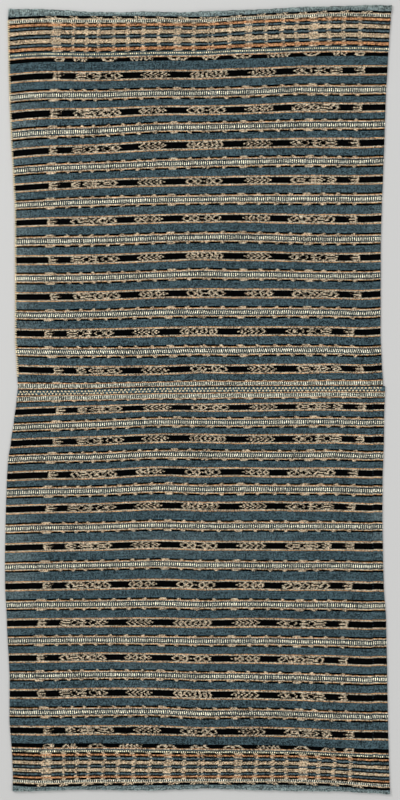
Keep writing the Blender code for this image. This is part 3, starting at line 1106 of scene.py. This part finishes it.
def make_cloth(panel, materials, seed_start):
    """The panel's closed thin sheet, a material for each stripe and maps for the warp, the stripes and the bake."""
    stations = loop_stations()
    count = len(stations)
    rows = panel.rows()
    places = []
    for number, first, _ in rows:
        _, upper, lower = panel.stripes[number]
        places.append(upper + (lower - upper) * first)
    places.append(panel.stripes[-1][2])
    total = len(places)
    outer, inner, runs = zip(*[lay_row(panel, stations, place) for place in places])
    inner_rows = sorted(set(range(0, total, INNER_ROW_STEP)) | {total - 1})
    points = np.concatenate(outer + tuple(inner[row] for row in inner_rows))
    bake_x = bake_places(stations)
    bake_y = 1.0 - BAKE_RIM - (1.0 - 2.0 * BAKE_RIM) * np.linspace(0.0, 1.0, total)
    inner_x = BAKE_INNER[0] + (BAKE_INNER[1] - BAKE_INNER[0]) * np.linspace(0.0, 1.0, count + 1)
    step = np.arange(count)
    after = (step + 1) % count
    kinds = sorted({kind for kind, _, _ in panel.stripes})
    faces = []
    slots = []
    maps = {"OFBake": [], "warp": [], "stripe": []}

    def level(value):
        return np.full(count, value)

    def add(kind, order, starts, numbers, heights, shares, seed, across, down):
        """A strip of faces between two rows, with each row's start, number, height, share and place in the bake."""
        corners = [(row, (step, after)[column], across[step + column]) for row, column in order]
        faces.append(np.stack([starts[row] + part for row, part, _ in corners], 1))
        slots.append(np.full(count, kinds.index(kind)))
        pairs = {
            "OFBake": [(place, level(down[row])) for row, _, place in corners],
            "warp": [(runs[numbers[row]][part], level(heights[row])) for row, part, _ in corners],
            "stripe": [(level(shares[row]), level(seed)) for row, _, _ in corners],
        }
        for name, values in pairs.items():
            maps[name].append(np.stack([np.stack(pair, 1) for pair in values], 1))

    for index, (number, first, last) in enumerate(rows):
        below = index + 1
        add(panel.stripes[number][0], OUTWARDS, (index * count, below * count), (index, below),
            (places[index], places[below]), (first, last), seed_start + number * SEED_STEP, bake_x,
            (bake_y[index], bake_y[below]))
    inner_start = total * count
    for index, (row, below) in enumerate(zip(inner_rows, inner_rows[1:])):
        start = inner_start + index * count
        add("blue", INWARDS, (start, start + count), (row, below), (places[row], places[below]), (0.0, 1.0),
            RIM_SEED, inner_x, (bake_y[row], bake_y[below]))
    inner_last = inner_start + (len(inner_rows) - 1) * count
    for row, under, order, share, edge in ((0, inner_start, INWARDS, 0.02, 1.0),
                                           (total - 1, inner_last, DOWNWARDS, 0.98, 0.0)):
        add(panel.stripes[0 if row == 0 else -1][0], order, (row * count, under), (row, row),
            (places[row], places[row] - RIM_FALL), (share, share), RIM_SEED, bake_x, (bake_y[row], edge))

    mesh = bpy.data.meshes.new(panel.name + "_cloth")
    mesh.from_pydata(points.tolist(), [], np.concatenate(faces).tolist())
    for kind in kinds:
        mesh.materials.append(materials[kind])
    mesh.polygons.foreach_set("material_index", np.concatenate(slots).astype(np.int32))
    for name, corners in maps.items():
        layer = mesh.uv_layers.new(name=name)
        layer.data.foreach_set("uv", np.concatenate(corners).reshape(-1).astype(np.float32))
    pale = mesh.attributes.new("paleness", "FLOAT", "POINT")
    pale.data.foreach_set("value", paleness(points[:, 0], points[:, 1]).astype(np.float32))
    mesh.update()
    mesh.validate()
    mesh.shade_smooth()
    mesh.set_sharp_from_angle(angle=SHARP_ANGLE)
    return add_object(mesh)


def add_object(data):
    """An object for a mesh, a lamp or a camera, linked to the scene."""
    made = bpy.data.objects.new(data.name, data)
    bpy.context.scene.collection.objects.link(made)
    return made


def add_thread(work, points, radius):
    """A short length of thread through given points, a little flattened, with thinner ends."""
    points = [np.array(point) for point in points]
    rings = []
    last = len(points) - 1
    for number, point in enumerate(points):
        ahead = points[min(number + 1, last)] - points[max(number - 1, 0)]
        ahead = ahead / np.linalg.norm(ahead)
        side = np.cross(ahead, (0.0, 0.0, 1.0))
        side = side / max(np.linalg.norm(side), SMALLEST)
        over = np.cross(side, ahead)
        thick = radius * (THREAD_END if number in (0, last) else 1.0)
        ring = []
        for step in range(THREAD_SIDES):
            turn = 2.0 * math.pi * step / THREAD_SIDES
            offset = side * math.cos(turn) * thick + over * math.sin(turn) * thick * THREAD_SQUASH
            ring.append(work.verts.new(point + offset))
        rings.append(ring)
    for first, second in zip(rings, rings[1:]):
        for step in range(THREAD_SIDES):
            after = (step + 1) % THREAD_SIDES
            work.faces.new((first[step], first[after], second[after], second[step]))
    work.faces.new(rings[0][::-1])
    work.faces.new(rings[-1])


def finish_sewing(name, work, material):
    bmesh.ops.recalc_face_normals(work, faces=work.faces)
    mesh = bpy.data.meshes.new(name)
    work.to_mesh(mesh)
    work.free()
    mesh.materials.append(material)
    mesh.shade_smooth()
    return add_object(mesh)


def stitch(work, panel, start, end, radius):
    """A stitch lying on the front face between two points, with both ends sunk into the cloth."""
    points = []
    for share in (0.0, 0.2, 0.5, 0.8, 1.0):
        across = start[0] + (end[0] - start[0]) * share
        along = start[1] + (end[1] - start[1]) * share
        spot = (np.array(across), np.array(along))
        height = 2.0 * (CLOTH_THICKNESS + LAYER_GAP / 2.0) + float(swell(*spot) + panel.selvedge_lift(*spot))
        height += radius * 0.5 * math.sin(math.pi * share) - STITCH_SINK * (1.0 - math.sin(math.pi * share))
        points.append((across, along, height))
    add_thread(work, points, radius)


def zigzag_row(panel, material):
    """The loose cream zigzag below the joining seam: it shows as a short float at each turn."""
    dice = random.Random(5)
    work = bmesh.new()
    across = -0.312
    lean = 1.0
    while across < 0.322:
        middle = float(panel.edge("seam", np.array(across))) - ZIGZAG_BELOW_SEAM + dice.uniform(-0.0003, 0.0003)
        for side in (1.0, -1.0):
            reach = dice.uniform(0.0017, 0.0025)
            slant = dice.uniform(0.0006, 0.0012)
            turn = (across + side * lean * slant, middle + side * reach)
            half_across = side * lean * dice.uniform(0.0005, 0.0008)
            half_along = side * dice.uniform(0.0009, 0.0013)
            start = (turn[0] + half_across, turn[1] + half_along)
            end = (turn[0] - half_across, turn[1] - half_along)
            if dice.random() < 0.93:
                stitch(work, panel, start, end, dice.uniform(0.00085, 0.00105))
        lean = -lean if dice.random() < 0.92 else lean
        across += dice.uniform(0.0028, 0.0035)
    return finish_sewing("zigzag_thread", work, material)


def seam_stitches(panel, material):
    """Oversewn stitches that hold the two selvedges together."""
    dice = random.Random(8)
    work = bmesh.new()
    across = -0.310
    while across < 0.320:
        seam = float(cross_line("seam", np.array(across)))
        start = (across - 0.0006, seam + dice.uniform(0.0012, 0.0018))
        end = (across + 0.0008, seam - dice.uniform(0.0012, 0.0018))
        stitch(work, panel, start, end, SEAM_THREAD)
        across += dice.uniform(0.0030, 0.0044)
    return finish_sewing("seam_thread", work, material)


def whip_stitches(panel, material):
    """Cream stitches over the upper panel's left fold."""
    dice = random.Random(11)
    work = bmesh.new()
    radius = CLOTH_THICKNESS + LAYER_GAP / 2.0
    along = 0.660
    while along > 0.040:
        flat = panel.side("left", along, -OUTER_X) + radius
        slant = dice.uniform(0.0004, 0.0011)
        reach = dice.uniform(0.0008, 0.0018)
        size = dice.uniform(0.00078, 0.00100)
        points = [(flat + reach, along - slant, 2.0 * radius - 0.0001)]
        for turn in (0.0, 0.25, 0.5, 0.75, 1.0):
            angle = math.pi * turn
            across = flat - (radius + size * 0.5) * math.sin(angle)
            height = radius + (radius + size * 0.5) * math.cos(angle)
            points.append((across, along + slant * turn, max(height, size * THREAD_SQUASH)))
        add_thread(work, points, size)
        along -= dice.uniform(0.0034, 0.0042)
    return finish_sewing("whip_thread", work, material)


def end_seam_stitches(panel, material):
    """The lower panel's end seam, a running row of stitches close to the right fold."""
    dice = random.Random(14)
    work = bmesh.new()
    along = 0.010
    while along > -0.675:
        across = END_SEAM_X + dice.uniform(-0.0003, 0.0003)
        end = (across - 0.0004, along - dice.uniform(0.0022, 0.0030))
        stitch(work, panel, (across + 0.0004, along), end, SEAM_THREAD)
        along -= dice.uniform(0.0044, 0.0058)
    return finish_sewing("end_seam_thread", work, material)


def hem_stitches(name, panel, line, material):
    """Small slip stitches along a hem's inner edge."""
    dice = random.Random(17)
    work = bmesh.new()
    across = -0.318
    while across < 0.322:
        edge = float(panel.along(line, np.array([across]))[0])
        start = (across, edge + dice.uniform(0.0000, 0.0006))
        end = (across + dice.uniform(0.0012, 0.0020), edge - dice.uniform(0.0000, 0.0006))
        stitch(work, panel, start, end, HEM_THREAD)
        across += dice.uniform(0.0052, 0.0074)
    return finish_sewing(name, work, material)


materials = stripe_materials()
upper = Panel("upper_panel", UPPER_SIDES, "top_hem", "seam", UPPER_BOW, upper_stripes(), True)
lower = Panel("lower_panel", LOWER_SIDES, "seam", "bottom_hem", LOWER_BOW, lower_stripes(), False)
upper_cloth = make_cloth(upper, materials, 3.0)
lower_cloth = make_cloth(lower, materials, 211.0)

cream_thread = thread_cotton("cream_thread", shade(252, 240, 206), shade(226, 200, 156))
dark_thread = thread_cotton("dark_thread", shade(24, 26, 30), shade(52, 60, 66))
blue_thread = thread_cotton("blue_thread", shade(70, 86, 92), shade(40, 52, 60))

zigzag = zigzag_row(lower, cream_thread)
seam_sewing = seam_stitches(upper, dark_thread)
whip_sewing = whip_stitches(upper, cream_thread)
end_sewing = end_seam_stitches(lower, blue_thread)
top_hem_sewing = hem_stitches("top_hem_thread", upper, upper.stripes[0][2], blue_thread)
bottom_hem_sewing = hem_stitches("bottom_hem_thread", lower, lower.stripes[-1][1], blue_thread)

for piece in (upper_cloth, lower_cloth, zigzag, seam_sewing, whip_sewing, end_sewing, top_hem_sewing,
              bottom_hem_sewing):
    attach(piece, "root")
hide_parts("upper_panel")
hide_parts("lower_panel")

FLOOR_HALF = 30.0
FLOOR_LEVEL = -0.0002
VIEW_HEIGHT = 1.40
VIEW_MIDDLE = (0.0035, -0.0009)
LENS = 100.0
SENSOR = 36.0
FLOOR_GREY = (0.62, 0.62, 0.61, 1.0)
FLOOR_ROUGHNESS = 0.9
SKY_STRENGTH = 0.55

floor_mesh = bpy.data.meshes.new("floor")
floor_corners = [(FLOOR_HALF * x, FLOOR_HALF * y, FLOOR_LEVEL) for x, y in ((-1, -1), (1, -1), (1, 1), (-1, 1))]
floor_mesh.from_pydata(floor_corners, [], [(0, 1, 2, 3)])
floor = add_object(floor_mesh)
floor_material = bpy.data.materials.new("pale_floor")
floor_material.use_nodes = True
floor_shader = floor_material.node_tree.nodes["Principled BSDF"]
floor_shader.inputs["Base Color"].default_value = FLOOR_GREY
floor_shader.inputs["Roughness"].default_value = FLOOR_ROUGHNESS
floor_mesh.materials.append(floor_material)


def soft_light(name, place, size, power):
    """A square soft light that faces the middle of the cloth."""
    data = bpy.data.lights.new(name, "AREA")
    data.size = size
    data.energy = power
    lamp = add_object(data)
    lamp.location = place
    lamp.rotation_euler = (-lamp.location).to_track_quat("-Z", "Y").to_euler()


soft_light("left_light", (-2.6, 1.8, 2.6), 1.6, 75.0)
soft_light("right_light", (2.6, -0.6, 3.2), 2.0, 45.0)

world = bpy.data.worlds.new("room")
world.use_nodes = True
sky = world.node_tree.nodes["Background"]
sky.inputs["Color"].default_value = (1.0, 1.0, 1.0, 1.0)
sky.inputs["Strength"].default_value = SKY_STRENGTH
bpy.context.scene.world = world
bpy.context.scene.view_settings.view_transform = "Standard"

camera_data = bpy.data.cameras.new("camera")
camera_data.lens = LENS
camera_data.sensor_width = SENSOR
camera = add_object(camera_data)
camera.location = (*VIEW_MIDDLE, VIEW_HEIGHT * LENS / SENSOR)
bpy.context.scene.camera = camera
